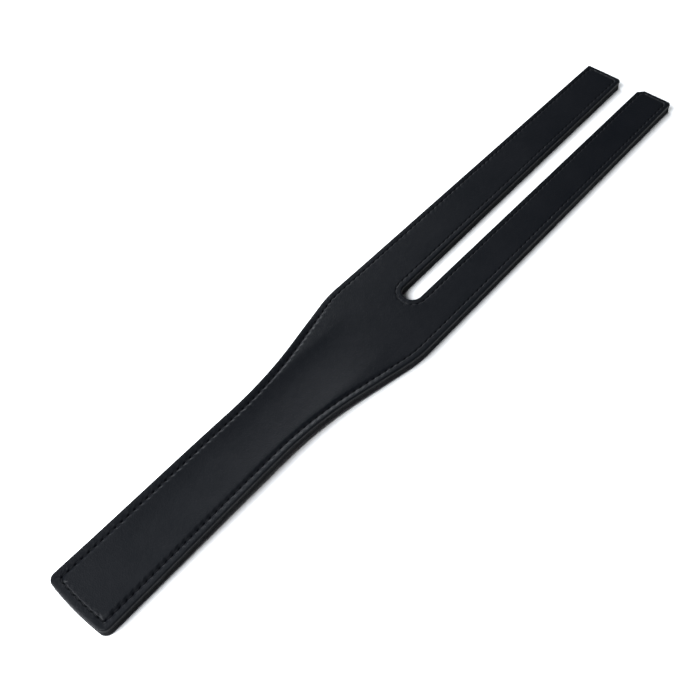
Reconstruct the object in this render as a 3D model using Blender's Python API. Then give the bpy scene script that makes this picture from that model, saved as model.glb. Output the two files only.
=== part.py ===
"""Flat two-tailed leather strap: four leather plies, stitched all round on both faces.

The strap lies on the XY plane with its butt at -Y, its tails at +Y and its wear face up.
Leather bends anywhere, so each tail's bending is gathered into one hinge line, placed a
seventh of the way along the tail, where a bent cantilever seems to turn. Every ply and
thread is divided there into a handle length and two tail lengths.
"""
import math

import bmesh
import bpy
from mathutils import Vector, geometry

# Driving dimensions of the outline, in metres.
LENGTH = 0.420
BUTT_HALF_WIDTH = 0.01875
BUTT_SLOPE_DEG = 3.6
BUTT_ARC_RADIUS = 0.170
BUTT_CORNER_RADIUS = 0.0050
NECK_HALF_WIDTH = 0.01765
NECK_FROM_BUTT = 0.1316
NECK_RADIUS = 0.218
SHOULDER_HALF_WIDTH = 0.03005
SHOULDER_FROM_BUTT = 0.1901
SHOULDER_RADIUS = 0.065
TIP_HALF_WIDTH = 0.02815
SLOT_HALF_WIDTH_ROOT = 0.00515
SLOT_HALF_WIDTH_TIP = 0.00625
SLOT_ROOT_FROM_BUTT = 0.2145
SLOT_OFFSET_ROOT = 0.0014
SLOT_OFFSET_TIP = 0.0009
HINGE_FROM_BUTT = 0.2460

# The cut of each tail's end: (radius or chamfer of the outer corner, of the inner corner).
LEFT_TIP_CORNERS = (0.0008, 0.0020)
RIGHT_TIP_OUTER_RADIUS = 0.0018
RIGHT_TIP_INNER_CHAMFER = 0.0034
SMALL_RADIUS = 0.0006

# The stack of plies, from the ground up.
COVER_THICKNESS = 0.0015
CORE_THICKNESS = 0.0013
PLY_GAP = 0.0003
EDGE_ROUNDING = 0.0004

# The seam.
THREAD_DIAMETER = 0.0008
THREAD_CLEARANCE = 0.0003
SEAM_INSET_BUTT = 0.0040
SEAM_INSET_TIP = 0.0026
SEAM_CORNER_RADIUS = 0.0012

# The hinge lines: the gap leaves room for each tail to turn this far up or down.
TAIL_TURN_DEG = 25.0
HINGE_SPARE = 0.0003

ARC_TOLERANCE = 0.00004
CUTTER_OVERLAP = 0.0010

# Values that follow from the ones above.
BUTT_Y = -LENGTH / 2
BUTT_APEX_Y = BUTT_Y - BUTT_ARC_RADIUS * (1 / math.cos(math.radians(BUTT_SLOPE_DEG)) - 1)
BUTT_CORNER_Y = BUTT_APEX_Y + BUTT_HALF_WIDTH * math.tan(math.radians(BUTT_SLOPE_DEG))
TIP_Y = LENGTH / 2
NECK_Y = BUTT_Y + NECK_FROM_BUTT
SHOULDER_Y = BUTT_Y + SHOULDER_FROM_BUTT
SLOT_ROOT_Y = BUTT_Y + SLOT_ROOT_FROM_BUTT
HINGE_Y = BUTT_Y + HINGE_FROM_BUTT
THICKNESS = 2 * COVER_THICKNESS + 2 * CORE_THICKNESS + 3 * PLY_GAP
HINGE_GAP = THICKNESS * math.tan(math.radians(TAIL_TURN_DEG) / 2) + HINGE_SPARE
HANDLE_CUT_Y = HINGE_Y - HINGE_GAP / 2
TAIL_CUT_Y = HINGE_Y + HINGE_GAP / 2
GROOVE_WIDTH = THREAD_DIAMETER + 2 * THREAD_CLEARANCE
GROOVE_DEPTH = THREAD_DIAMETER + THREAD_CLEARANCE
PLY_LEVELS = {
    "bottom_cover": (0.0, COVER_THICKNESS),
    "lower_core": (COVER_THICKNESS + PLY_GAP, CORE_THICKNESS),
    "upper_core": (COVER_THICKNESS + CORE_THICKNESS + 2 * PLY_GAP, CORE_THICKNESS),
    "top_cover": (THICKNESS - COVER_THICKNESS, COVER_THICKNESS),
}


def outer_half_width(y):
    """Half width of the blade and the tails, which narrow evenly from shoulder to tip."""
    share = (y - SHOULDER_Y) / (TIP_Y - SHOULDER_Y)
    return SHOULDER_HALF_WIDTH + share * (TIP_HALF_WIDTH - SHOULDER_HALF_WIDTH)


def slot_half_width(y):
    """Half width of the slot between the tails, which opens evenly from root to tip."""
    share = (y - SLOT_ROOT_Y) / (TIP_Y - SLOT_ROOT_Y)
    return SLOT_HALF_WIDTH_ROOT + share * (SLOT_HALF_WIDTH_TIP - SLOT_HALF_WIDTH_ROOT)


def slot_reach(y, side):
    """Distance from the middle plane to the slot's edge, on the right (1) or the left (-1).

    The slot was cut a little to the right of the middle.
    """
    share = (y - SLOT_ROOT_Y) / (TIP_Y - SLOT_ROOT_Y)
    offset = SLOT_OFFSET_ROOT + share * (SLOT_OFFSET_TIP - SLOT_OFFSET_ROOT)
    return slot_half_width(y) + side * offset


def seam_inset(y):
    """Distance from the edge to the seam, which shrinks evenly from butt to tip."""
    share = (y - BUTT_Y) / LENGTH
    return SEAM_INSET_BUTT + share * (SEAM_INSET_TIP - SEAM_INSET_BUTT)


# A run is an open list of corners (x, y, radius), with the leather on its left-hand side.

def mirrored(run):
    """The same run on the other side of the strap, still with the leather on its left."""
    return [(-x, y, radius) for x, y, radius in reversed(run)]


def handle_outer_run():
    """Down the left edge from the hinge line, round the butt and up the right edge."""
    right = [
        (BUTT_HALF_WIDTH, BUTT_CORNER_Y, BUTT_CORNER_RADIUS),
        (NECK_HALF_WIDTH, NECK_Y, NECK_RADIUS),
        (SHOULDER_HALF_WIDTH, SHOULDER_Y, SHOULDER_RADIUS),
        (outer_half_width(HANDLE_CUT_Y), HANDLE_CUT_Y, 0.0),
    ]
    return mirrored(right) + [(0.0, BUTT_APEX_Y, BUTT_ARC_RADIUS)] + right


def slot_side(side):
    """One side of the slot, from the hinge line down to its root, as if on the right."""
    return [
        (slot_reach(HANDLE_CUT_Y, side), HANDLE_CUT_Y, 0.0),
        (slot_reach(SLOT_ROOT_Y, side), SLOT_ROOT_Y, SLOT_HALF_WIDTH_ROOT * 0.999),
    ]


def handle_slot_run():
    """Down the right side of the slot, round its root and up the left side."""
    return slot_side(1) + mirrored(slot_side(-1))


def tail_run(side, outer_corners, inner_corners):
    """Up the outer edge of a tail, across its tip and down the slot's edge, as if on the right."""
    start = (outer_half_width(TAIL_CUT_Y), TAIL_CUT_Y, 0.0)
    end = (slot_reach(TAIL_CUT_Y, side), TAIL_CUT_Y, 0.0)
    return [start] + outer_corners + inner_corners + [end]


def right_tail_run():
    """The right tail has a rounded outer corner and a chamfered inner one."""
    chamfer = RIGHT_TIP_INNER_CHAMFER
    inner = [
        (slot_reach(TIP_Y, 1) + chamfer, TIP_Y, SMALL_RADIUS),
        (slot_reach(TIP_Y - chamfer, 1), TIP_Y - chamfer, SMALL_RADIUS),
    ]
    return tail_run(1, [(TIP_HALF_WIDTH, TIP_Y, RIGHT_TIP_OUTER_RADIUS)], inner)


def left_tail_run():
    """The left tail has an almost sharp outer corner and a rounded inner one."""
    outer_radius, inner_radius = LEFT_TIP_CORNERS
    outer = [(TIP_HALF_WIDTH, TIP_Y, outer_radius)]
    inner = [(slot_reach(TIP_Y, -1), TIP_Y, inner_radius)]
    return mirrored(tail_run(-1, outer, inner))


def crossing(start_a, end_a, start_b, end_b):
    """Where two straight lines in the plane meet, taken as endless."""
    ends = [point.to_3d() for point in (start_a, end_a, start_b, end_b)]
    return geometry.intersect_line_line(*ends)[0]


def inset_run(run, extra=0.0):
    """A run moved into the leather by the seam's inset, plus an extra distance."""
    lines = []
    for (x0, y0, _), (x1, y1, _) in zip(run, run[1:]):
        start, end = Vector((x0, y0)), Vector((x1, y1))
        along = (end - start).normalized()
        inward = Vector((-along.y, along.x))
        new_start = start + inward * (seam_inset(y0) + extra)
        new_end = end + inward * (seam_inset(y1) + extra)
        lines.append((new_start, new_end, along))
    moved = [(lines[0][0].x, lines[0][0].y, 0.0)]
    for before, after, corner in zip(lines, lines[1:], run[1:-1]):
        meet = crossing(before[0], before[1], after[0], after[1])
        turns_left = before[2].cross(after[2]) > 0
        inset = seam_inset(corner[1]) + extra
        radius = corner[2] - inset if turns_left else corner[2] + inset
        moved.append((meet.x, meet.y, max(radius, SEAM_CORNER_RADIUS)))
    moved.append((lines[-1][1].x, lines[-1][1].y, 0.0))
    return moved


def arc_at(before, corner, after):
    """Points of the arc that rounds one corner of a run."""
    here = Vector(corner[:2])
    radius = corner[2]
    towards_before = (Vector(before[:2]) - here).normalized()
    towards_after = (Vector(after[:2]) - here).normalized()
    half_angle = towards_before.angle(towards_after) / 2
    centre = here + (towards_before + towards_after).normalized() * radius / math.sin(half_angle)
    start = here + towards_before * radius / math.tan(half_angle) - centre
    end = here + towards_after * radius / math.tan(half_angle) - centre
    sweep = -start.angle_signed(end)
    largest_step = 2 * math.acos(1 - ARC_TOLERANCE / radius)
    steps = max(2, math.ceil(abs(sweep) / largest_step))
    points = []
    for step in range(steps + 1):
        turn = sweep * step / steps
        x = start.x * math.cos(turn) - start.y * math.sin(turn)
        y = start.x * math.sin(turn) + start.y * math.cos(turn)
        points.append((centre.x + x, centre.y + y))
    return points


def rounded(run):
    """Points along a run, with every corner between its ends rounded."""
    points = [run[0][:2]]
    for before, corner, after in zip(run, run[1:], run[2:]):
        points.extend(arc_at(before, corner, after))
    points.append(run[-1][:2])
    return points


def groove_outline(run):
    """Closed outline of the stitching groove beside a run, carried on past the cut."""
    lead = CUTTER_OVERLAP if run[0][1] < HINGE_Y else -CUTTER_OVERLAP
    near = rounded(inset_run(run, -GROOVE_WIDTH / 2))
    far = rounded(inset_run(run, GROOVE_WIDTH / 2))
    for side in (near, far):
        side.insert(0, (side[0][0], side[0][1] + lead))
        side.append((side[-1][0], side[-1][1] + lead))
    return near + far[::-1]


def principled(name, colour, roughness):
    """A plain dielectric material."""
    material = bpy.data.materials.new(name)
    material.use_nodes = True
    shader = material.node_tree.nodes["Principled BSDF"]
    shader.inputs["Base Color"].default_value = (*colour, 1.0)
    shader.inputs["Roughness"].default_value = roughness
    material.diffuse_color = (*colour, 1.0)
    return material


def add_curve(name, dimensions, paths, cyclic, height):
    """A curve object with one straight-segment spline for each path."""
    curve = bpy.data.curves.new(name, "CURVE")
    curve.dimensions = dimensions
    for path in paths:
        spline = curve.splines.new("POLY")
        spline.points.add(len(path) - 1)
        for point, (x, y) in zip(spline.points, path):
            point.co = (x, y, 0.0, 1.0)
        spline.use_cyclic_u = cyclic
    curve_object = bpy.data.objects.new(name, curve)
    curve_object.location.z = height
    bpy.context.scene.collection.objects.link(curve_object)
    return curve_object


def mesh_from_curve(curve_object, collection, material=None):
    """Replace a curve object by a mesh object of the same name, with its caps welded on."""
    name = curve_object.name
    bpy.context.view_layer.update()
    evaluated = curve_object.evaluated_get(bpy.context.evaluated_depsgraph_get())
    mesh = bpy.data.meshes.new_from_object(evaluated)
    welded = bmesh.new()
    welded.from_mesh(mesh)
    bmesh.ops.remove_doubles(welded, verts=welded.verts, dist=0.00001)
    welded.to_mesh(mesh)
    welded.free()
    mesh.shade_smooth()
    mesh.set_sharp_from_angle(angle=math.radians(30))
    place = curve_object.matrix_world.copy()
    bpy.data.objects.remove(curve_object)
    mesh_object = bpy.data.objects.new(name, mesh)
    mesh_object.name = name
    mesh_object.matrix_world = place
    if material:
        mesh.materials.clear()
        mesh.materials.append(material)
    collection.objects.link(mesh_object)
    return mesh_object


def add_ply(name, outline, base, thickness, collection, material):
    """A flat ply with slightly rounded edges, standing on the height base."""
    slab = add_curve(name, "2D", [outline], True, base + thickness / 2)
    slab.data.fill_mode = "BOTH"
    slab.data.extrude = thickness / 2 - EDGE_ROUNDING
    slab.data.bevel_depth = EDGE_ROUNDING
    slab.data.bevel_resolution = 1
    slab.data.offset = -EDGE_ROUNDING
    return mesh_from_curve(slab, collection, material)


def add_groove_cutter(name, runs, face_height, collection):
    """A cutter for the stitching grooves in the face at this height."""
    outlines = [groove_outline(run) for run in runs]
    cutter = add_curve(name, "2D", outlines, True, face_height)
    cutter.data.fill_mode = "BOTH"
    cutter.data.extrude = GROOVE_DEPTH
    cutter = mesh_from_curve(cutter, collection)
    cutter.hide_render = True
    cutter.display_type = "WIRE"
    return cutter


def cut_groove(ply, cutter):
    """Cut the stitching groove into a ply."""
    cut = ply.modifiers.new("stitching_groove", "BOOLEAN")
    cut.operation = "DIFFERENCE"
    cut.solver = "EXACT"
    cut.object = cutter


def add_thread(name, run, height, collection, material):
    """A thread lying along the seam beside one run."""
    thread = add_curve(name, "3D", [rounded(inset_run(run))], False, height)
    thread.data.bevel_depth = THREAD_DIAMETER / 2
    thread.data.bevel_resolution = 1
    thread.data.use_fill_caps = True
    return mesh_from_curve(thread, collection, material)


def add_length(prefix, runs, parts, cutters, leather, thread):
    """One length of the strap: its four plies and the threads on its two faces."""
    outline = [point for run in runs.values() for point in rounded(run)]
    plies = {}
    for ply_name, (base, thickness) in PLY_LEVELS.items():
        name = f"{prefix}_{ply_name}"
        plies[ply_name] = add_ply(name, outline, base, thickness, parts, leather)
    thread_depth = GROOVE_DEPTH - THREAD_DIAMETER / 2 - THREAD_CLEARANCE
    faces = {
        "top": (THICKNESS, THICKNESS - thread_depth),
        "bottom": (0.0, thread_depth),
    }
    threads = []
    for face, (face_height, thread_height) in faces.items():
        cutter_name = f"{prefix}_{face}_groove_cutter"
        cutter = add_groove_cutter(cutter_name, runs.values(), face_height, cutters)
        cut_groove(plies[f"{face}_cover"], cutter)
        for run_name, run in runs.items():
            thread_name = f"{prefix}_{face}_{run_name}_thread"
            threads.append(add_thread(thread_name, run, thread_height, parts, thread))
    return list(plies.values()) + threads


def hang_on_hinge(pieces, name, x, collection):
    """Parent a tail's pieces to an empty on its hinge line."""
    hinge = bpy.data.objects.new(name, None)
    hinge.empty_display_size = 0.02
    hinge.location = (x, HINGE_Y, THICKNESS / 2)
    collection.objects.link(hinge)
    bpy.context.view_layer.update()
    for piece in pieces:
        piece.parent = hinge
        piece.matrix_parent_inverse = hinge.matrix_world.inverted()


def build():
    """Make the whole strap in an empty scene."""
    for old in list(bpy.data.objects):
        bpy.data.objects.remove(old, do_unlink=True)
    parts = bpy.data.collections.new("two_tailed_strap")
    cutters = bpy.data.collections.new("groove_cutters")
    for collection in (parts, cutters):
        bpy.context.scene.collection.children.link(collection)
    leather = principled("black_leather", (0.018, 0.020, 0.024), 0.5)
    thread = principled("black_thread", (0.010, 0.010, 0.011), 0.7)
    handle_runs = {"edge": handle_outer_run(), "slot": handle_slot_run()}
    add_length("handle", handle_runs, parts, cutters, leather, thread)
    tails = {"left_tail": (left_tail_run(), -1), "right_tail": (right_tail_run(), 1)}
    for prefix, (run, side) in tails.items():
        pieces = add_length(prefix, {"edge": run}, parts, cutters, leather, thread)
        centre = side * (outer_half_width(HINGE_Y) + slot_reach(HINGE_Y, side)) / 2
        hang_on_hinge(pieces, f"{prefix}_flex", centre, parts)


build()
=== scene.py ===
# Looks of the two-tailed leather strap, built around its imported frame.
#
# Every ply is remade with its rounded, puckered or burnished edge, and every thread as its
# separate stitches. The plies of the tails join those of the handle just past the slot's
# root. The handle's bow, the hollow of its upper face and the last millimetres of the tails
# are added here to what the CAD has.
import math

import bpy
import numpy as np
from mathutils import Matrix, Vector, geometry, kdtree, noise


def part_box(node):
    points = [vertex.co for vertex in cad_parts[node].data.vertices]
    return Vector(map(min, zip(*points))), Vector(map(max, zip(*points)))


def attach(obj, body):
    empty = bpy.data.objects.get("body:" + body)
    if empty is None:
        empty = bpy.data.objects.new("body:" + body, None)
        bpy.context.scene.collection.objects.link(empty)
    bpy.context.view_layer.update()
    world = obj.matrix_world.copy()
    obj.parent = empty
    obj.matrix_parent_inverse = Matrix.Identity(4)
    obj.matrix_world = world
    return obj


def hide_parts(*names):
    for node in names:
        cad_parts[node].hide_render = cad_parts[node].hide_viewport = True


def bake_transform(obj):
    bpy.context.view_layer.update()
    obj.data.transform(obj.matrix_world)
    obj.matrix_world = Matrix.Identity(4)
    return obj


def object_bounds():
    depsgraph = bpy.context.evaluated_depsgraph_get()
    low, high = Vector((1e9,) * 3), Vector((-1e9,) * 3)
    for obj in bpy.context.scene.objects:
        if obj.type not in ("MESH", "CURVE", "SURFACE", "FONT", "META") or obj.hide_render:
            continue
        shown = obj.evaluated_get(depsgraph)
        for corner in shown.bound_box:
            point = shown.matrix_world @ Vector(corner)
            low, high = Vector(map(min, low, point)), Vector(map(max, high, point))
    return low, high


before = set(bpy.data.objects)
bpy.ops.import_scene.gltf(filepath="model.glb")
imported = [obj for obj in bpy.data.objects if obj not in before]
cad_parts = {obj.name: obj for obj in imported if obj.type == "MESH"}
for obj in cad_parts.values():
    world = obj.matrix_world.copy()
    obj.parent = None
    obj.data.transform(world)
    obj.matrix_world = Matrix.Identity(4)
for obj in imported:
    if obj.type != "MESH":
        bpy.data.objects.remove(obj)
CAD_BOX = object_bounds()

# ---------------------------------------------------------------- sizes, in metres
MM = 0.001
LOW, HIGH = (Vector(corner) for corner in CAD_BOX)
TIP_OVERHANG = 1.8 * MM  # the photograph's tips reach this much past the CAD's
BUTT_Y = LOW.y
TIP_Y = HIGH.y + TIP_OVERHANG
THICKNESS = HIGH.z
SHOULDER_HALF_WIDTH = 30.05 * MM
TIP_HALF_WIDTH = 28.15 * MM
BUTT_HALF_WIDTH = 18.75 * MM
BUTT_SLOPE = math.radians(3.6)
BUTT_ARC_RADIUS = 170 * MM
BUTT_CORNER_RADIUS = 4 * MM
NECK_HALF_WIDTH = 17.65 * MM
NECK_Y = BUTT_Y + 131.6 * MM
NECK_RADIUS = 218 * MM
SHOULDER_Y = BUTT_Y + 190.1 * MM
SHOULDER_RADIUS = 65 * MM
SLOT_HALF_WIDTH_ROOT = 5.15 * MM
SLOT_HALF_WIDTH_TIP = 6.25 * MM
SLOT_ROOT_Y = BUTT_Y + 214.5 * MM
SLOT_ROOT_RADIUS = 0.999 * SLOT_HALF_WIDTH_ROOT  # a hair less, so that two arcs fit side by side
SLOT_OFFSET_ROOT = 1.4 * MM
SLOT_OFFSET_TIP = 0.9 * MM
LEFT_TIP_RADII = (1.2 * MM, 2.2 * MM)
RIGHT_TIP_RADIUS = 1.8 * MM
RIGHT_TIP_CHAMFER = 3.4 * MM
CHAMFER_RADIUS = 0.6 * MM

COVER_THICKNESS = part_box("handle_bottom_cover")[1].z
CORE_LEVELS = {
    "lower_core": [corner.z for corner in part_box("handle_lower_core")],
    "upper_core": [corner.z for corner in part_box("handle_upper_core")],
}

SEAM_INSET_BUTT = 4.0 * MM
SEAM_INSET_TIP = 2.6 * MM

# Corners are rounded by at least this much at the seam, and by this share of it at the edge.
SEAM_CORNER_RADIUS = 2.2 * MM
LEAST_CORNER_SHARE = 0.05

STITCH_LENGTH = 3.75 * MM
SAMPLES_PER_STITCH = 10
LARGEST_STEP = 0.55 * MM

# The tails' pieces start at the split.
SPLIT_PAST_ROOT = 8 * MM
SPLIT_Y = SLOT_ROOT_Y + SPLIT_PAST_ROOT


def share_of(y, y0, y1):
    return (y - y0) / (y1 - y0)


def outer_half_width(y):
    share = share_of(y, SHOULDER_Y, TIP_Y)
    return SHOULDER_HALF_WIDTH + share * (TIP_HALF_WIDTH - SHOULDER_HALF_WIDTH)


def slot_half_width(y):
    share = share_of(y, SLOT_ROOT_Y, TIP_Y)
    return SLOT_HALF_WIDTH_ROOT + share * (SLOT_HALF_WIDTH_TIP - SLOT_HALF_WIDTH_ROOT)


def slot_reach(y, side):
    """Distance from the middle plane to the slot's edge, on the right (1) or the left (-1)."""
    share = share_of(y, SLOT_ROOT_Y, TIP_Y)
    offset = SLOT_OFFSET_ROOT + share * (SLOT_OFFSET_TIP - SLOT_OFFSET_ROOT)
    return slot_half_width(y) + side * offset


def seam_inset(y):
    return SEAM_INSET_BUTT + share_of(y, BUTT_Y, TIP_Y) * (SEAM_INSET_TIP - SEAM_INSET_BUTT)


# ---------------------------------------------------------------- outlines
# A run is an open list of corners (x, y, radius), with the leather on its left-hand side.

def mirrored(run):
    return [(-x, y, radius) for x, y, radius in reversed(run)]


def handle_runs():
    """The handle's edge, from the left tail round the butt to the right tail, and its slot."""
    apex = BUTT_Y - BUTT_ARC_RADIUS * (1 / math.cos(BUTT_SLOPE) - 1)
    right = [
        (BUTT_HALF_WIDTH, apex + BUTT_HALF_WIDTH * math.tan(BUTT_SLOPE), BUTT_CORNER_RADIUS),
        (NECK_HALF_WIDTH, NECK_Y, NECK_RADIUS),
        (SHOULDER_HALF_WIDTH, SHOULDER_Y, SHOULDER_RADIUS),
        (outer_half_width(SPLIT_Y), SPLIT_Y, 0),
    ]
    edge = mirrored(right) + [(0, apex, BUTT_ARC_RADIUS)] + right
    return [edge, slot_side(1) + mirrored(slot_side(-1))]


def slot_side(side):
    """One side of the slot down to its root, as if on the right."""
    return [
        (slot_reach(SPLIT_Y, side), SPLIT_Y, 0),
        (slot_reach(SLOT_ROOT_Y, side), SLOT_ROOT_Y, SLOT_ROOT_RADIUS),
    ]


def tail_run(side, outer, inner):
    """A tail's edge, as if on the right: up its outer side, across its tip, down the slot."""
    start = (outer_half_width(SPLIT_Y), SPLIT_Y, 0)
    end = (slot_reach(SPLIT_Y, side), SPLIT_Y, 0)
    return [start] + outer + inner + [end]


def right_tail_runs():
    low = TIP_Y - RIGHT_TIP_CHAMFER
    inner = [
        (slot_reach(TIP_Y, 1) + RIGHT_TIP_CHAMFER, TIP_Y, CHAMFER_RADIUS),
        (slot_reach(low, 1), low, CHAMFER_RADIUS),
    ]
    return [tail_run(1, [(TIP_HALF_WIDTH, TIP_Y, RIGHT_TIP_RADIUS)], inner)]


def left_tail_runs():
    outer_radius, inner_radius = LEFT_TIP_RADII
    outer = [(TIP_HALF_WIDTH, TIP_Y, outer_radius)]
    inner = [(slot_reach(TIP_Y, -1), TIP_Y, inner_radius)]
    return [mirrored(tail_run(-1, outer, inner))]


def moved_inwards(run, fixed, seam_share):
    """The run moved into the leather by a fixed distance plus a share of the seam's inset."""
    def offset(y):
        return fixed + seam_share * seam_inset(y)

    lines = []
    for (x0, y0, _), (x1, y1, _) in zip(run, run[1:]):
        start, end = Vector((x0, y0)), Vector((x1, y1))
        along = (end - start).normalized()
        inward = Vector((-along.y, along.x))
        lines.append((start + inward * offset(y0), end + inward * offset(y1), along))

    def at_split(line):
        start, end, _ = line
        return start + (end - start) * share_of(SPLIT_Y, start.y, end.y)

    corners = [(at_split(lines[0]), 0)]
    for before, after, (_, y, radius) in zip(lines, lines[1:], run[1:-1]):
        ends = [point.to_3d() for point in (*before[:2], *after[:2])]
        meet = geometry.intersect_line_line(*ends)[0].to_2d()
        distance = offset(y)
        if before[2].cross(after[2]) > 0:
            least = SEAM_CORNER_RADIUS * min(1, max(LEAST_CORNER_SHARE, distance / seam_inset(y)))
            corners.append((meet, max(radius - distance, least)))
        else:
            corners.append((meet, radius + distance))
    corners.append((at_split(lines[-1]), 0))
    return fitted(corners)


def half_angle(corners, index):
    here = corners[index][0]
    back, ahead = corners[index - 1][0] - here, corners[index + 1][0] - here
    return back.angle(ahead) / 2


def fitted(corners):
    """The corners with radii small enough for neighbouring arcs to fit on each edge."""
    spans = [0.0]
    for index in range(1, len(corners) - 1):
        spans.append(corners[index][1] / math.tan(half_angle(corners, index)))
    spans.append(0.0)
    for index in range(len(corners) - 1):
        length = (corners[index + 1][0] - corners[index][0]).length
        smaller = min(spans[index], spans[index + 1], length / 2)
        if spans[index] + spans[index + 1] > length:
            spans[index] = min(spans[index], length - smaller)
            spans[index + 1] = min(spans[index + 1], length - smaller)
    radii = [0.0]
    for index in range(1, len(corners) - 1):
        radii.append(spans[index] * math.tan(half_angle(corners, index)))
    radii.append(0.0)
    return [(point, radius) for (point, _), radius in zip(corners, radii)]


def traced(corners, steps):
    """Points along a run with rounded corners, the same number for every distance inwards."""
    points = []
    last = corners[0][0]
    for index, (here, radius) in enumerate(corners[1:-1], start=1):
        back = (corners[index - 1][0] - here).normalized()
        ahead = (corners[index + 1][0] - here).normalized()
        half = back.angle(ahead) / 2
        centre = here + (back + ahead).normalized() * radius / math.sin(half)
        first = here + back * radius / math.tan(half)
        arm = first - centre
        turn = -arm.angle_signed(here + ahead * radius / math.tan(half) - centre)
        straight, curved = steps[index - 1]
        for step in range(straight):
            points.append(last.lerp(first, step / straight))
        for step in range(curved):
            points.append(centre + Matrix.Rotation(turn * step / curved, 2) @ arm)
        last = centre + Matrix.Rotation(turn, 2) @ arm
    end = corners[-1][0]
    straight = steps[-1][0]
    points.extend(last.lerp(end, step / straight) for step in range(straight + 1))
    return np.array(points)


def lengths_along(points):
    steps = np.linalg.norm(np.diff(points, axis=0), axis=1)
    return np.concatenate([[0], np.cumsum(steps)])


class Run:
    """One run of the edge, sampled in step with its stitches at any distance inwards."""

    FINE_STEP = 0.12 * MM
    LEAST_STRAIGHT_STEPS = 2
    LEAST_CURVED_STEPS = 12
    CURVED_SHARE = 0.4
    LARGEST_CURVE = 60 * MM

    def __init__(self, corners):
        self.corners = corners
        self.steps = []
        for (x0, y0, _), (x1, y1, radius) in zip(corners, corners[1:]):
            straight = math.ceil(math.hypot(x1 - x0, y1 - y0) / self.FINE_STEP)
            curve = self.CURVED_SHARE * min(radius, self.LARGEST_CURVE)
            curved = math.ceil(curve / self.FINE_STEP)
            straight = max(self.LEAST_STRAIGHT_STEPS, straight)
            self.steps.append((straight, max(self.LEAST_CURVED_STEPS, curved)))
        # Stitches are counted along the seam, in fine steps numbered by their places.
        seam = lengths_along(self.dense(0, 1))
        edge = lengths_along(self.dense(0, 0))
        self.stitches = round(seam[-1] / STITCH_LENGTH)
        phase = seam / seam[-1] * self.stitches
        places = np.arange(len(seam))
        wanted = np.arange(self.stitches * SAMPLES_PER_STITCH + 1) / SAMPLES_PER_STITCH
        coarse = np.interp(wanted, phase, places)
        edge_at = np.interp(coarse, places, edge)
        # Round outer corners the edge is longer than the seam, so it gets more samples there.
        finer = []
        for start, end, edge_start, edge_end in zip(coarse, coarse[1:], edge_at, edge_at[1:]):
            count = max(1, math.ceil((edge_end - edge_start) / LARGEST_STEP))
            finer.extend(start + (end - start) * step / count for step in range(count))
        finer.append(coarse[-1])
        self.samples = np.array(finer)
        self.phase = np.interp(self.samples, places, phase)
        self.places = places
        self.phase_fine = phase
        edge_points, seam_points = self.ring(0, 0), self.ring(0, 1)
        inwards = seam_points - edge_points
        self.towards_right = inwards[:, 0] / np.linalg.norm(inwards, axis=1)

    def dense(self, fixed, seam_share):
        return traced(moved_inwards(self.corners, fixed, seam_share), self.steps)

    def at(self, samples, fixed, seam_share):
        points = self.dense(fixed, seam_share)
        return np.stack([np.interp(samples, self.places, points[:, k]) for k in (0, 1)], 1)

    def ring(self, fixed, seam_share):
        """Points of the line at this distance inwards, one for each sample."""
        return self.at(self.samples, fixed, seam_share)


# ---------------------------------------------------------------- surface forms

SEED_SPACING = 7.31


def noise_at(points, wavelength, seed):
    """Smooth noise from -1 to 1 at each point of the plane."""
    scale = 1 / wavelength
    level = seed * SEED_SPACING
    found = [noise.noise(Vector((x * scale, y * scale, level))) for x, y in points]
    return np.array(found)


def smooth_step(value, start, end):
    share = np.clip((value - start) / (end - start), 0, 1)
    return share * share * (3 - 2 * share)


def bell(value, middle, width):
    return np.exp(-(((value - middle) / width) ** 2))


# The handle's own forms fade out between these places, on the way to the blade.
HANDLE_FADE = (NECK_Y + 15 * MM, SHOULDER_Y + 5 * MM)

# The hollow of the handle's face, which starts between two distances from the butt.
DISH_DEPTH = 0.90 * MM
DISH_MIDDLE = -3.5 * MM
DISH_REACH_LEFT = 10.5 * MM
DISH_REACH_RIGHT = 18.5 * MM
DISH_START = (BUTT_Y + 4 * MM, BUTT_Y + 60 * MM)

# The leather's slow unevenness: (height, wavelength, seed).
WAVES = ((0.05 * MM, 26 * MM, 1), (0.025 * MM, 7 * MM, 2))


def handle_share(y):
    """One on the handle, nothing from the shoulder on."""
    return 1 - smooth_step(y, *HANDLE_FADE)


def dish(points):
    """Depth of the handle's face, which is pressed hollow between its two seams."""
    x, y = points[:, 0], points[:, 1]
    along = smooth_step(y, *DISH_START) * handle_share(y)
    reach = np.where(x > DISH_MIDDLE, DISH_REACH_RIGHT, DISH_REACH_LEFT)
    return DISH_DEPTH * along * np.clip(1 - ((x - DISH_MIDDLE) / reach) ** 2, 0, 1)


def undulation(points):
    """Height of the leather's slow unevenness."""
    return sum(height * noise_at(points, wavelength, seed) for height, wavelength, seed in WAVES)


# The edges were cut with a slight lean: the upper face lies a little further to the right than
# the lower one. The pivot is the height, as a share of the thickness, that stays in place.
SKEW = 0.2 * MM
SKEW_PIVOT = 0.2
ARCH_HEIGHT = 2.1 * MM


def arch(y):
    """How far the strap stands off the floor: its handle is slightly bowed."""
    share = np.clip(share_of(y, BUTT_Y, SPLIT_Y), 0, 1)
    return ARCH_HEIGHT * np.sin(math.pi * share) ** 2


# The seam: a narrow groove with a hole at each end of every stitch, and leather that swells
# beside it between the holes.
FIELD_DEPTH = 0.15 * MM
GROOVE_HALF_WIDTH_HANDLE = 0.32 * MM
GROOVE_HALF_WIDTH_TAIL = 0.25 * MM
GROOVE_SHIFT = 0.20 * MM
GROOVE_LEVEL, GROOVE_RIPPLE = 0.75, 0.25
STITCH_SWAY = 0.12 * MM
HOLE_RADIUS = 0.32 * MM
HOLE_SHARE = 0.6
FALL_EXPONENT = 1.3

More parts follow.
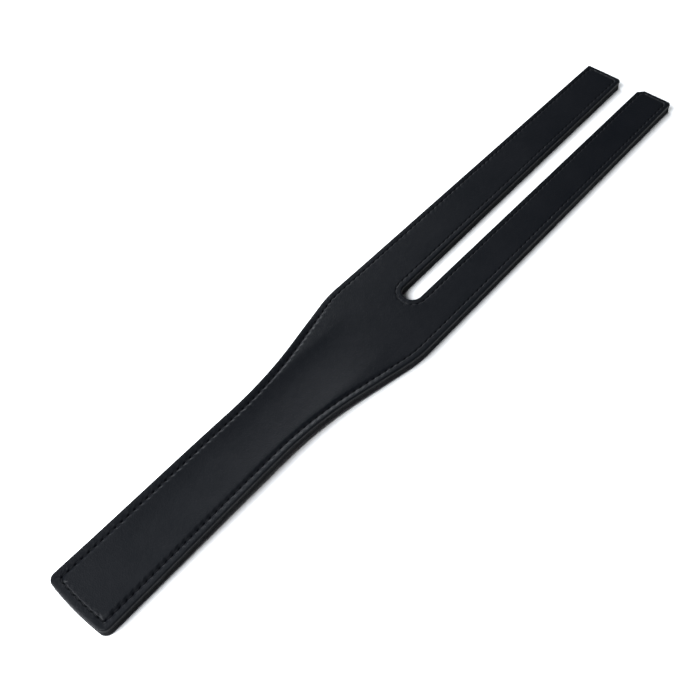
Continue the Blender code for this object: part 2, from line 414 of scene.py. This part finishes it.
# The swelling: its strength on the tails and what the handle's long sides add to it, how much
# of it the right-hand side loses, and for its two ridges (height, place, half-width).
PUCKER_ON_TAILS, PUCKER_ADDED_ON_HANDLE = 0.35, 0.65
PUCKER_LOST_ON_RIGHT = 0.55
OUTER_RIDGE = (0.5, -0.95 * MM, 0.5 * MM)
INNER_RIDGE = (1.0, 1.0 * MM, 0.5 * MM)

# Distances from the seam at which the section is sampled, inwards, in millimetres.
BESIDE_SEAM = (
    -1.7, -1.4, -1.15, -0.95, -0.75, -0.58, -0.42, -0.28, -0.14, 0.0,
    0.14, 0.28, 0.42, 0.58, 0.75, 0.95, 1.15, 1.4, 1.65, 1.85,
)


class Face:
    """How one face of the strap is formed: top or bottom."""

    def __init__(
        self, rounding, rounding_height, edge_drop, sag_handle, sag_tail, groove, pucker, dished
    ):
        self.rounding = rounding
        self.rounding_height = rounding_height
        self.edge_drop = edge_drop
        self.sag_handle = sag_handle
        self.sag_tail = sag_tail
        self.groove = groove
        self.pucker = pucker
        self.dished = dished

    def slow(self, points):
        """Height of the face's slow forms, between its seams."""
        height = undulation(points)
        if self.dished:
            height = height - dish(points)
        return height

    def field(self, points):
        """Height of the face inside its seams."""
        return -FIELD_DEPTH + self.slow(points)

    def sag(self, y, towards_right):
        """How far below the edge's crest the seam pulls the leather: most along the handle."""
        pulled = handle_share(y) * np.abs(towards_right)
        return self.sag_tail + pulled * (self.sag_handle - self.sag_tail)

    def seam_relief(self, across, y, phase, towards_right):
        """Height of the leather beside the seam; across is measured from it, inwards."""
        turn = 2 * math.pi * phase
        from_hole = (phase - np.round(phase)) * STITCH_LENGTH
        on_handle = handle_share(y)
        added_width = on_handle * (GROOVE_HALF_WIDTH_HANDLE - GROOVE_HALF_WIDTH_TAIL)
        middle = GROOVE_SHIFT * towards_right * on_handle + STITCH_SWAY * np.sin(turn)
        groove = bell(across, middle, GROOVE_HALF_WIDTH_TAIL + added_width)
        groove = groove * (GROOVE_LEVEL + GROOVE_RIPPLE * np.cos(turn))
        hole = bell(across, 0, HOLE_RADIUS) * bell(from_hole, 0, HOLE_RADIUS)
        cut = self.groove * (groove + HOLE_SHARE * hole)
        return self.swelling(across, turn, on_handle, towards_right) - cut

    def swelling(self, across, turn, on_handle, towards_right):
        """Height of the two ridges beside the seam, which rise between its holes."""
        strength = PUCKER_ON_TAILS + PUCKER_ADDED_ON_HANDLE * on_handle * np.abs(towards_right)
        kept = 1 - PUCKER_LOST_ON_RIGHT * np.clip(-towards_right, 0, 1)
        (outer, *outer_form), (inner, *inner_form) = OUTER_RIDGE, INNER_RIDGE
        ridges = outer * bell(across, *outer_form) + kept * inner * bell(across, *inner_form)
        return strength * self.pucker * -0.5 * np.cos(turn) * ridges

    def level(self, across, points, inset, towards_right):
        """Height of the smooth section: it falls from the edge's crest to the seam, then climbs."""
        sag = self.sag(points[:, 1], towards_right)
        if across < 0:
            reach = inset - self.rounding
            share = np.clip((across + reach) / reach, 0, 1)
            fallen = (sag - self.edge_drop) * share ** FALL_EXPONENT
            return -self.edge_drop - fallen + self.slow(points) * share
        fall = 1 - smooth_step(across, 0, BESIDE_SEAM[-1] * MM)
        return -FIELD_DEPTH - (sag - FIELD_DEPTH) * fall + self.slow(points)


TOP = Face(
    rounding=0.75 * MM,
    rounding_height=1.20 * MM,
    edge_drop=0.06 * MM,
    sag_handle=0.78 * MM,
    sag_tail=0.16 * MM,
    groove=0.55 * MM,
    pucker=0.34 * MM,
    dished=True,
)
BOTTOM = Face(
    rounding=0.30 * MM,
    rounding_height=0.30 * MM,
    edge_drop=0.03 * MM,
    sag_handle=0.25 * MM,
    sag_tail=0.22 * MM,
    groove=0.42 * MM,
    pucker=0.16 * MM,
    dished=False,
)

# The lower part of a cover's edge: (distance inwards, height above its hidden side), in mm.
COVER_BASE = ((1.2, 0), (0.30, 0), (0.03, 0.02), (0, 0.10))
ROUNDING_ANGLES = (0, 15, 30, 45, 60, 75, 88)  # degrees
WOBBLE_HEIGHT = 0.05 * MM
WOBBLE_LENGTH = 6 * MM
WOBBLE_SEED = 3


def cover_rings(run, face):
    """The cover's section at every sample, from its underside round the edge to the field.

    Each ring is (points in the plane, heights above the strap's face).
    """
    rings = []
    flat = np.zeros(len(run.samples))
    wobble = WOBBLE_HEIGHT * noise_at(run.ring(0, 0), WOBBLE_LENGTH, WOBBLE_SEED)
    for fixed, height in COVER_BASE:
        rings.append((run.ring(fixed * MM, 0), -COVER_THICKNESS + height * MM + flat))
    centre = -face.edge_drop - face.rounding_height
    for angle in np.radians(ROUNDING_ANGLES):
        points = run.ring(face.rounding * (1 - math.cos(angle)), 0)
        rings.append((points, centre + (face.rounding_height + wobble) * math.sin(angle)))
    for across in np.array(BESIDE_SEAM) * MM:
        points = run.ring(across, 1)
        y = points[:, 1]
        inset = seam_inset(y)
        relief = face.seam_relief(across, y, run.phase, run.towards_right)
        height = face.level(across, points, inset, run.towards_right) + relief
        fade = 1 - smooth_step(across, 0, BESIDE_SEAM[-1] * MM)
        rings.append((points, height + wobble * fade))
    return rings


# ---------------------------------------------------------------- meshes

# Edges sharper than this many degrees aren't shaded smooth.
PLY_SHARP_ANGLE = 50
THREAD_SHARP_ANGLE = 80


def as_object(name, points, faces, sharp_angle):
    """A smooth mesh object, leaned and bowed, that remembers where its points rest."""
    points[:, 0] += SKEW * (points[:, 2] / THICKNESS - SKEW_PIVOT)
    points[:, 2] += arch(points[:, 1])
    mesh = bpy.data.meshes.new(name + "_look")
    mesh.from_pydata(points.tolist(), [], faces)
    mesh.validate()
    mesh.shade_smooth()
    mesh.set_sharp_from_angle(angle=math.radians(sharp_angle))
    rest = mesh.attributes.new("rest", "FLOAT_VECTOR", "POINT")
    rest.data.foreach_set("vector", np.array(points, np.float32).ravel())
    piece = bpy.data.objects.new(name + "_look", mesh)
    bpy.context.scene.collection.objects.link(piece)
    return piece


def inside(points, loop):
    """Whether each point of the plane lies inside the closed loop."""
    x, y = points[:, 0], points[:, 1]
    found = np.zeros(len(points), bool)
    for (x0, y0), (x1, y1) in zip(loop, np.roll(loop, -1, axis=0)):
        if y0 != y1:
            spans = (y0 > y) != (y1 > y)
            found ^= spans & (x < (x1 - x0) * (y - y0) / (y1 - y0) + x0)
    return found


def grid_within(loop, spacing):
    """Points of a triangular grid inside the loop, clear of its own points."""
    low, high = loop.min(axis=0), loop.max(axis=0)
    rows = np.arange(low[1], high[1], spacing * math.sqrt(0.75))
    points = []
    for number, y in enumerate(rows):
        xs = np.arange(low[0] + (number % 2) * spacing / 2, high[0], spacing)
        points.extend((x, y) for x in xs)
    points = np.array(points)
    points = points[inside(points, loop)]
    tree = kdtree.KDTree(len(loop))
    for index, (x, y) in enumerate(loop):
        tree.insert((x, y, 0), index)
    tree.balance()
    clear = [tree.find((x, y, 0))[2] > spacing / 2 for x, y in points]
    return points[np.array(clear, bool)]


INSIDE_LOOP = 1
MERGE_DISTANCE = 1e-6


def filled(loop, extra):
    """Triangles, counter-clockwise, that fill the loop through its points and the extra ones."""
    points = np.concatenate([loop, extra]) if len(extra) else loop
    vectors = [Vector(point) for point in points / MM]
    edges = [(index, (index + 1) % len(loop)) for index in range(len(loop))]
    result = geometry.delaunay_2d_cdt(vectors, edges, [], INSIDE_LOOP, MERGE_DISTANCE)
    origin = [sources[0] for sources in result[3]]
    triangles = []
    for face in result[2]:
        a, b, c = (vectors[origin[corner]] for corner in face)
        face = [origin[corner] for corner in face]
        triangles.append(face if (b - a).cross(c - a) > 0 else face[::-1])
    return triangles


class Skin:
    """A ply's closed surface, made of rings that follow its runs and of two filled faces."""

    FIELD_SPACING = 1.5 * MM

    def __init__(self, rings_by_run, field_height, turned_over):
        self.points = []
        self.faces = []
        self.turned_over = turned_over
        columns = []
        for rings in rings_by_run:
            first = len(self.points)
            count = len(rings[0][0])
            for plane, heights in rings:
                self.points.extend(zip(plane[:, 0], plane[:, 1], heights))
            grid = first + np.arange(len(rings) * count).reshape(len(rings), count)
            # The rings are joined by quads, one column for each step along the run.
            quads = np.stack([grid[:-1, :-1], grid[:-1, 1:], grid[1:, 1:], grid[1:, :-1]], -1)
            self.faces.extend(quads.reshape(-1, 4).tolist())
            columns.append(grid)
        # Between one run and the next, a cap closes the straight cut through the ply.
        inner, outer = [], []
        for index, grid in enumerate(columns):
            following = columns[(index + 1) % len(columns)]
            between = self.cut_points(grid[-1, -1], following[-1, 0], field_height)
            inner.extend([*grid[-1], *between])
            outer.extend(grid[0])
            cap = [*grid[:, -1], *between, *following[::-1, 0]]
            self.faces.append([int(corner) for corner in reversed(cap)])
        # The last ring's face is filled over a grid of extra points, the first's without any.
        loop = self.plane(inner)
        extra = grid_within(loop, self.FIELD_SPACING)
        first = len(self.points)
        self.points.extend(zip(extra[:, 0], extra[:, 1], field_height(extra)))
        numbers = [int(number) for number in inner] + list(range(first, len(self.points)))
        for triangle in filled(loop, extra):
            self.faces.append([numbers[corner] for corner in triangle])
        for triangle in filled(self.plane(outer), []):
            self.faces.append([int(outer[corner]) for corner in reversed(triangle)])

    def plane(self, numbers):
        return np.array([self.points[number][:2] for number in numbers])

    def cut_points(self, start, end, field_height):
        """New points on the straight cut between two points, and their numbers."""
        a, b = self.plane([start, end])
        count = math.ceil(np.linalg.norm(b - a) / self.FIELD_SPACING)
        shares = np.arange(1, count) / count
        plane = a + (b - a) * shares[:, None]
        first = len(self.points)
        self.points.extend(zip(plane[:, 0], plane[:, 1], field_height(plane)))
        return range(first, len(self.points))

    def build(self, name, level):
        """The object, with heights measured up from the level, or down from it."""
        points = np.array(self.points, float)
        faces = self.faces
        if self.turned_over:
            points[:, 2] *= -1
            faces = [face[::-1] for face in faces]
        points[:, 2] += level
        return as_object(name, points, faces, PLY_SHARP_ANGLE)


# ---------------------------------------------------------------- threads

THREAD_RADIUS = 0.28 * MM
THREAD_SIDES = 10
THREAD_RINGS = 12
THREAD_LEVEL_HANDLE = 0.20 * MM
THREAD_LEVEL_TAIL = 0.24 * MM

# A stitch leaves a gap at each end, as a share of its length, and dives there. It lies at a
# slant and sways from side to side. The exponent keeps its middle flat.
THREAD_GAP = 0.11
THREAD_DIVE = 0.55 * MM
THREAD_DIVE_EXPONENT = 0.35
THREAD_SLANT = 0.17 * MM
THREAD_SWAY = 0.10 * MM
THREAD_SWAY_LENGTH = 4 * MM
THREAD_SWAY_SEED = 5

# The ends are thinner, and the two strands twist around each other.
TAPER_START, TAPER_SPAN, TAPER_EXPONENT, TAPER_LEAST = 0.08, 0.84, 0.3, 0.35
STRAND_DEPTH = 0.13
STRAND_TURNS = 1.6


def stitches(name, run, face, level, turned_over):
    """Every stitch of a seam: short lengths of twisted thread that dive into their holes."""
    points, faces = [], []
    for number in range(run.stitches):
        centre, side, height = stitch_path(run, face, number)
        faces.extend(stitch_faces(len(points)))
        points.extend(stitch_points(centre, side, height))
    points = np.array(points)
    if turned_over:
        points[:, 2] *= -1
        faces = [face[::-1] for face in faces]
    points[:, 2] += level
    return as_object(name, points, faces, THREAD_SHARP_ANGLE)


def stitch_path(run, face, number):
    """The middle line of one stitch: places in the plane, sideways directions and heights."""
    shares = np.linspace(0, 1, THREAD_RINGS)
    phases = number + THREAD_GAP + (1 - 2 * THREAD_GAP) * shares
    samples = np.interp(phases, run.phase_fine, run.places)
    centre = run.at(samples, 0, 1)
    along = np.gradient(centre, axis=0)
    along /= np.linalg.norm(along, axis=1)[:, None]
    side = np.stack([along[:, 1], -along[:, 0]], 1)
    place = centre[THREAD_RINGS // 2] / THREAD_SWAY_LENGTH
    sway = THREAD_SWAY * noise.noise(Vector((*place, THREAD_SWAY_SEED)))
    centre = centre + side * ((shares - 0.5) * 2 * THREAD_SLANT + sway)[:, None]
    on_handle = handle_share(centre[:, 1]) if face.dished else 0
    depth = THREAD_LEVEL_TAIL + on_handle * (THREAD_LEVEL_HANDLE - THREAD_LEVEL_TAIL)
    towards_right = np.interp(samples, run.samples, run.towards_right)
    level = face.level(0, centre, seam_inset(centre[:, 1]), towards_right)
    dive = THREAD_DIVE * (1 - np.sin(np.pi * shares) ** THREAD_DIVE_EXPONENT)
    return centre, side, level - depth - dive


def stitch_points(centre, side, height):
    """Points of one stitch's surface, ring after ring."""
    points = []
    for place, share in enumerate(np.linspace(0, 1, THREAD_RINGS)):
        swelling = math.sin(math.pi * (TAPER_START + TAPER_SPAN * share))
        taper = max(TAPER_LEAST, swelling ** TAPER_EXPONENT)
        twist = 2 * math.pi * share * STRAND_TURNS
        for angle in np.arange(THREAD_SIDES) / THREAD_SIDES * 2 * math.pi:
            strand = 1 + STRAND_DEPTH * math.cos(2 * angle - twist)
            radius = THREAD_RADIUS * taper * strand
            x, y = centre[place] + side[place] * radius * math.cos(angle)
            points.append((x, y, height[place] + radius * math.sin(angle)))
    return points


def stitch_faces(first):
    """Faces of one stitch, whose points start at this number."""
    faces = []
    for ring in range(THREAD_RINGS - 1):
        for step in range(THREAD_SIDES):
            a = first + ring * THREAD_SIDES + step
            b = first + ring * THREAD_SIDES + (step + 1) % THREAD_SIDES
            faces.append([a, b, b + THREAD_SIDES, a + THREAD_SIDES])
    start = [first + step for step in range(THREAD_SIDES)]
    faces.append(start[::-1])
    faces.append([corner + THREAD_SIDES * (THREAD_RINGS - 1) for corner in start])
    return faces


# ---------------------------------------------------------------- core plies

# Each ply swells a little into the gaps that the CAD leaves above and below it.
PLY_SWELL = 0.11 * MM
CORE_SAMPLE_EVERY = 3

# The section: (distance inwards in mm, share of the gap at an opened tip, height as a share
# of the ply's thickness, how rough the cut is).
CORE_SECTION = (
    (1.00, 0, 0, 0),
    (0.30, 0, 0, 0),
    (0.18, 0, 0.03, 0.5),
    (0.12, 0, 0.15, 1),
    (0.08, 0, 0.40, 1),
    (0.08, 0, 0.65, 1),
    (0.12, 0.5, 0.85, 1),
    (0.18, 1.5, 0.97, 0.5),
    (0.30, 2.2, 1, 0),
    (1.20, 0, 1, 0),
)
CORE_INSET = 0.02 * MM

# The cut's unevenness: (depth, wavelength, seed), to which each ply adds its own height.
CORE_WAVE = (0.05 * MM, 9 * MM, 4)
CORE_FIBRES = (0.03 * MM, 1.6 * MM, 6)

# The plies have sprung apart on the outer side of the right tail's tip.
OPENING = 0.30 * MM
OPENING_FROM_Y, OPENING_LENGTH = 150 * MM, 50 * MM
OPENING_FROM_X, OPENING_WIDTH = 15 * MM, 8 * MM


def core_rings(run, low, high):
    """A core ply's section, at fewer samples than a cover's."""
    samples = run.samples[::CORE_SAMPLE_EVERY]
    if samples[-1] != run.samples[-1]:
        samples = np.append(samples, run.samples[-1])
    edge = run.at(samples, 0, 0)
    low, high = low - PLY_SWELL, high + PLY_SWELL
    uneven = 0
    for depth, wavelength, seed in (CORE_WAVE, CORE_FIBRES):
        uneven = uneven + depth * noise_at(edge, wavelength, seed + low / MM)
    opened = opened_tip(edge)
    flat = np.zeros(len(edge))
    rings = []
    for fixed, opening, share, rough in CORE_SECTION:
        distances = CORE_INSET + rough * uneven + fixed * MM + opening * opened
        rings.append((shifted(run, samples, distances), low + share * (high - low) + flat))
    return rings


def shifted(run, samples, distances):
    """Points of the edge, each moved inwards by its own small distance."""
    edge = run.at(samples, 0, 0)
    inner = run.at(samples, 1 * MM, 0)
    return edge + (inner - edge) * (distances / MM)[:, None]


def opened_tip(points):
    """How far the plies have sprung apart at each point."""
    x, y = points[:, 0], points[:, 1]
    near_tip = np.clip((y - OPENING_FROM_Y) / OPENING_LENGTH, 0, 1)
    outer_side = np.clip((x - OPENING_FROM_X) / OPENING_WIDTH, 0, 1)
    return OPENING * near_tip * outer_side


# ---------------------------------------------------------------- materials

def new_material(name):
    """A material, its nodes, links and shader, and the place at rest that its textures follow."""
    material = bpy.data.materials.new(name)
    material.use_nodes = True
    nodes, links = material.node_tree.nodes, material.node_tree.links
    shader = nodes["Principled BSDF"]
    place = nodes.new("ShaderNodeAttribute")
    place.attribute_name = "rest"
    return material, nodes, links, shader, place.outputs["Vector"]


def noise_node(nodes, links, place, wavelength, detail, roughness=0.5):
    """The value of a noise texture at each place."""
    node = nodes.new("ShaderNodeTexNoise")
    node.inputs["Scale"].default_value = 1 / wavelength
    node.inputs["Detail"].default_value = detail
    node.inputs["Roughness"].default_value = roughness
    links.new(place, node.inputs["Vector"])
    return node.outputs["Fac"]


# Most of a noise texture's values lie between these two.
NOISE_LOW, NOISE_HIGH = 0.3, 0.7


def mapped(nodes, links, value, start, end):
    """The noise's value, stretched over the range from start to end."""
    node = nodes.new("ShaderNodeMapRange")
    node.inputs["From Min"].default_value = NOISE_LOW
    node.inputs["From Max"].default_value = NOISE_HIGH
    node.inputs["To Min"].default_value = start
    node.inputs["To Max"].default_value = end
    links.new(value, node.inputs["Value"])
    return node.outputs["Result"]


def blended(nodes, links, share, first, second):
    """The colour that lies at this share of the way from the first to the second."""
    node = nodes.new("ShaderNodeMix")
    node.data_type = "RGBA"
    node.inputs["A"].default_value = (*first, 1)
    node.inputs["B"].default_value = (*second, 1)
    links.new(share, node.inputs["Factor"])
    return node.outputs["Result"]


def bumped(nodes, links, height, distance, strength, below=None):
    """A normal tilted by the height, over another bump if there is one below."""
    node = nodes.new("ShaderNodeBump")
    node.inputs["Distance"].default_value = distance
    node.inputs["Strength"].default_value = strength
    links.new(height, node.inputs["Height"])
    if below:
        links.new(below, node.inputs["Normal"])
    return node.outputs["Normal"]


def cover_leather():
    """Black pigmented leather: fine pebbled grain, soft sheen, faintly uneven colour."""
    material, nodes, links, shader, place = new_material("black_cover_leather")
    pebble_size = 0.55 * MM
    pebbles = nodes.new("ShaderNodeTexVoronoi")
    pebbles.feature = "SMOOTH_F1"
    pebbles.inputs["Scale"].default_value = 1 / pebble_size
    pebbles.inputs["Smoothness"].default_value = 0.6
    links.new(place, pebbles.inputs["Vector"])
    pores = noise_node(nodes, links, place, 0.35 * MM, 3)
    creases = noise_node(nodes, links, place, 3.5 * MM, 4, 0.6)
    patches = noise_node(nodes, links, place, 18 * MM, 3)
    normal = bumped(nodes, links, creases, 0.25 * MM, 0.45)
    normal = bumped(nodes, links, pebbles.outputs["Distance"], 0.15 * MM, 0.50, normal)
    normal = bumped(nodes, links, pores, 0.06 * MM, 0.35, normal)
    links.new(normal, shader.inputs["Normal"])
    links.new(mapped(nodes, links, pores, 0.36, 0.50), shader.inputs["Roughness"])
    share = mapped(nodes, links, patches, 0, 1)
    colour = blended(nodes, links, share, (0.0021, 0.0027, 0.0039), (0.0034, 0.0039, 0.0052))
    links.new(colour, shader.inputs["Base Color"])
    shader.inputs["Specular IOR Level"].default_value = 0.09
    return material


def core_leather():
    """Burnished and blackened cut edge: fibres lie along it, in fine uneven streaks."""
    material, nodes, links, shader, place = new_material("burnished_core_leather")
    squeezed = nodes.new("ShaderNodeVectorMath")
    squeezed.operation = "MULTIPLY"
    squeezed.inputs[1].default_value = (1, 1, 6)
    links.new(place, squeezed.inputs[0])
    streaks = noise_node(nodes, links, squeezed.outputs["Vector"], 3 * MM, 4, 0.6)
    fibres = noise_node(nodes, links, place, 0.5 * MM, 3)
    normal = bumped(nodes, links, streaks, 0.20 * MM, 0.4)
    normal = bumped(nodes, links, fibres, 0.08 * MM, 0.5, normal)
    links.new(normal, shader.inputs["Normal"])
    links.new(mapped(nodes, links, streaks, 0.45, 0.75), shader.inputs["Roughness"])
    share = mapped(nodes, links, fibres, 0, 1)
    colour = blended(nodes, links, share, (0.0030, 0.0035, 0.0045), (0.0050, 0.0056, 0.0068))
    links.new(colour, shader.inputs["Base Color"])
    shader.inputs["Specular IOR Level"].default_value = 0.04
    return material


def waxed_thread():
    """Black waxed thread with the fuzz of its strands."""
    material, nodes, links, shader, place = new_material("black_waxed_thread")
    fuzz = noise_node(nodes, links, place, 0.18 * MM, 3)
    normal = bumped(nodes, links, fuzz, 0.05 * MM, 0.5)
    links.new(normal, shader.inputs["Normal"])
    links.new(mapped(nodes, links, fuzz, 0.50, 0.75), shader.inputs["Roughness"])
    colour = blended(nodes, links, fuzz, (0.0030, 0.0034, 0.0042), (0.0060, 0.0066, 0.0078))
    links.new(colour, shader.inputs["Base Color"])
    shader.inputs["Specular IOR Level"].default_value = 0.08
    return material


# ---------------------------------------------------------------- the strap

def finish_piece(piece, body, node, material):
    """Give a piece its material and its place in the frame: it rides the handle, or keeps its place
    baked into its points.
    """
    piece.data.materials.append(material)
    if body == "handle":
        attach(piece, body)
    else:
        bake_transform(piece)
    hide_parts(node)


# The strap's two faces: how each is formed, its height, and whether it looks down.
SIDES = {
    "top": (TOP, THICKNESS, False),
    "bottom": (BOTTOM, 0, True),
}


def build_body(body, runs_of_corners, materials):
    """The four plies of the handle or a tail, and the stitches on both its faces."""
    runs = [Run(corners) for corners in runs_of_corners]
    for side, (face, level, turned_over) in SIDES.items():
        name = f"{body}_{side}_cover"
        skin = Skin([cover_rings(run, face) for run in runs], face.field, turned_over)
        piece = skin.build(name, level)
        finish_piece(piece, body, name, materials["cover_leather"])
        for part, run in zip(("edge", "slot"), runs):
            name = f"{body}_{side}_{part}_thread"
            piece = stitches(name, run, face, level, turned_over)
            finish_piece(piece, body, name, materials["thread"])
    for ply, (low, high) in CORE_LEVELS.items():
        name = f"{body}_{ply}"
        rings = [core_rings(run, low, high) for run in runs]
        skin = Skin(rings, lambda points: np.full(len(points), high + PLY_SWELL), False)
        piece = skin.build(name, level=0)
        finish_piece(piece, body, name, materials["core_leather"])


MATERIALS = {
    "cover_leather": cover_leather(),
    "core_leather": core_leather(),
    "thread": waxed_thread(),
}
build_body("handle", handle_runs(), MATERIALS)
build_body("left_tail", left_tail_runs(), MATERIALS)
build_body("right_tail", right_tail_runs(), MATERIALS)


# ---------------------------------------------------------------- the studio

FLOOR_SIZE = 6  # metres
FLOOR_COLOUR = (0.93, 0.93, 0.93, 1)
WORLD_STRENGTH = 0.06


def floor():
    """A wide matt floor of a plain pale colour."""
    bpy.ops.mesh.primitive_plane_add(size=FLOOR_SIZE)
    plane = bpy.context.object
    plane.name = "floor"
    material, _, _, shader, _ = new_material("pale_floor")
    shader.inputs["Base Color"].default_value = FLOOR_COLOUR
    shader.inputs["Roughness"].default_value = 0.9
    shader.inputs["Specular IOR Level"].default_value = 0.1
    plane.data.materials.append(material)
    return plane


def softbox(name, direction, distance, size, power, colour):
    """A square area light that faces the strap from that direction."""
    light = bpy.data.lights.new(name, "AREA")
    light.shape = "SQUARE"
    light.size = size
    light.energy = power
    light.color = colour
    lamp = bpy.data.objects.new(name, light)
    towards = Vector(direction).normalized()
    lamp.location = towards * distance
    lamp.rotation_euler = towards.to_track_quat("Z", "Y").to_euler()
    bpy.context.scene.collection.objects.link(lamp)
    return lamp


CAMERA_TARGET = Vector((-1.75 * MM, -34.5 * MM, 0))
CAMERA_DISTANCE = 493.5 * MM
CAMERA_TURN = math.radians(45.85)
CAMERA_ELEVATION = math.radians(53.9)
CAMERA_ROLL = math.radians(-5.23)
CAMERA_LENS = 51.43


def camera():
    """The camera, level but for its slight roll, turned from the butt's side to the right."""
    data = bpy.data.cameras.new("camera")
    data.lens = CAMERA_LENS
    data.clip_start = 0.01
    view = bpy.data.objects.new("camera", data)
    turn = Matrix.Rotation(CAMERA_TURN, 4, "Z")
    tilt = Matrix.Rotation(math.pi / 2 - CAMERA_ELEVATION, 4, "X")
    roll = Matrix.Rotation(CAMERA_ROLL, 4, "Z")
    view.matrix_world = turn @ tilt @ roll
    view.location = CAMERA_TARGET + (turn @ tilt).to_3x3() @ Vector((0, 0, CAMERA_DISTANCE))
    bpy.context.scene.collection.objects.link(view)
    bpy.context.scene.camera = view


def surroundings():
    """A faint even light from all around, and plain tones."""
    world = bpy.data.worlds.new("studio")
    bpy.context.scene.world = world
    world.use_nodes = True
    background = world.node_tree.nodes["Background"]
    background.inputs["Color"].default_value = (1, 1, 1, 1)
    background.inputs["Strength"].default_value = WORLD_STRENGTH
    bpy.context.scene.view_settings.view_transform = "Standard"


surroundings()

floor()
softbox("left_softbox", (-0.85, 0.35, 0.40), 1.4, 0.6, 22, (0.92, 0.96, 1.0))
softbox("front_softbox", (-0.23, -0.68, 0.69), 1.6, 1.2, 78, (0.94, 0.97, 1.0))
camera()
